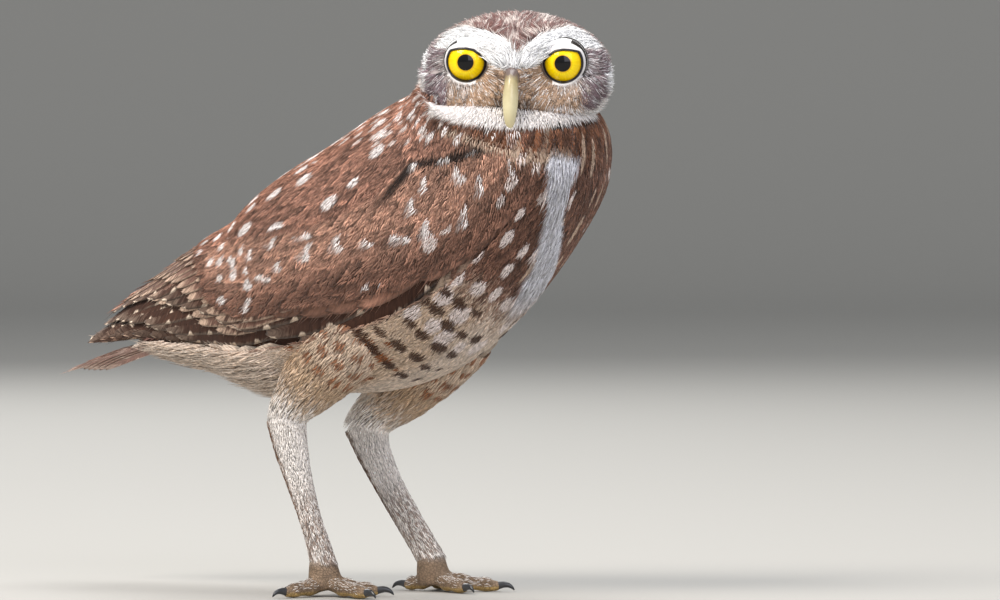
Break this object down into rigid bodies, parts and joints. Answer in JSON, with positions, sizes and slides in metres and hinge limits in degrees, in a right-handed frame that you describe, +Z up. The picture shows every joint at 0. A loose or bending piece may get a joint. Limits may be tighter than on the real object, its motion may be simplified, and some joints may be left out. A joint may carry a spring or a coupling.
{
  "type": "burrowing owl",
  "caption": "Life-size still model of a burrowing owl standing on long bare-looking legs, with folded wings, a short tail and its head turned to its right",
  "frame": {"origin": "middle of the bottom of the bounding box, on the floor that the feet stand on", "axes": "+X is the body's heading, +Y the bird's left, +Z up"},
  "size_m": [0.2078, 0.0838, 0.1953],
  "materials": {
    "brown_plumage": "matt warm brown feathers with pale spots",
    "buff_plumage": "matt buff feathers with brown bars",
    "head_plumage": "matt brown and white facial feathers",
    "leg_plumage": "short whitish down",
    "toe_skin": "scaly grey-brown skin with tan pads",
    "bill_horn": "satin greenish-yellow horn",
    "claw_horn": "satin bluish-black horn",
    "eye": "clear, with a yellow iris and a black pupil"
  },
  "bodies": {
    "root": {"torso": "buff_plumage", "neck": "brown_plumage", "head": "head_plumage", "tail": "brown_plumage", "wing_right": "brown_plumage", "wing_left": "brown_plumage", "thigh_right": "buff_plumage", "thigh_left": "buff_plumage", "shank_right": "leg_plumage", "shank_left": "leg_plumage", "foot_right": "toe_skin", "foot_left": "toe_skin", "bill_upper": "bill_horn", "bill_lower": "bill_horn", "eye_right": "eye", "eye_left": "eye", "claw_right_1": "claw_horn", "claw_right_2": "claw_horn", "claw_right_3": "claw_horn", "claw_right_4": "claw_horn", "claw_left_1": "claw_horn", "claw_left_2": "claw_horn", "claw_left_3": "claw_horn", "claw_left_4": "claw_horn"}
  },
  "joints": []
}
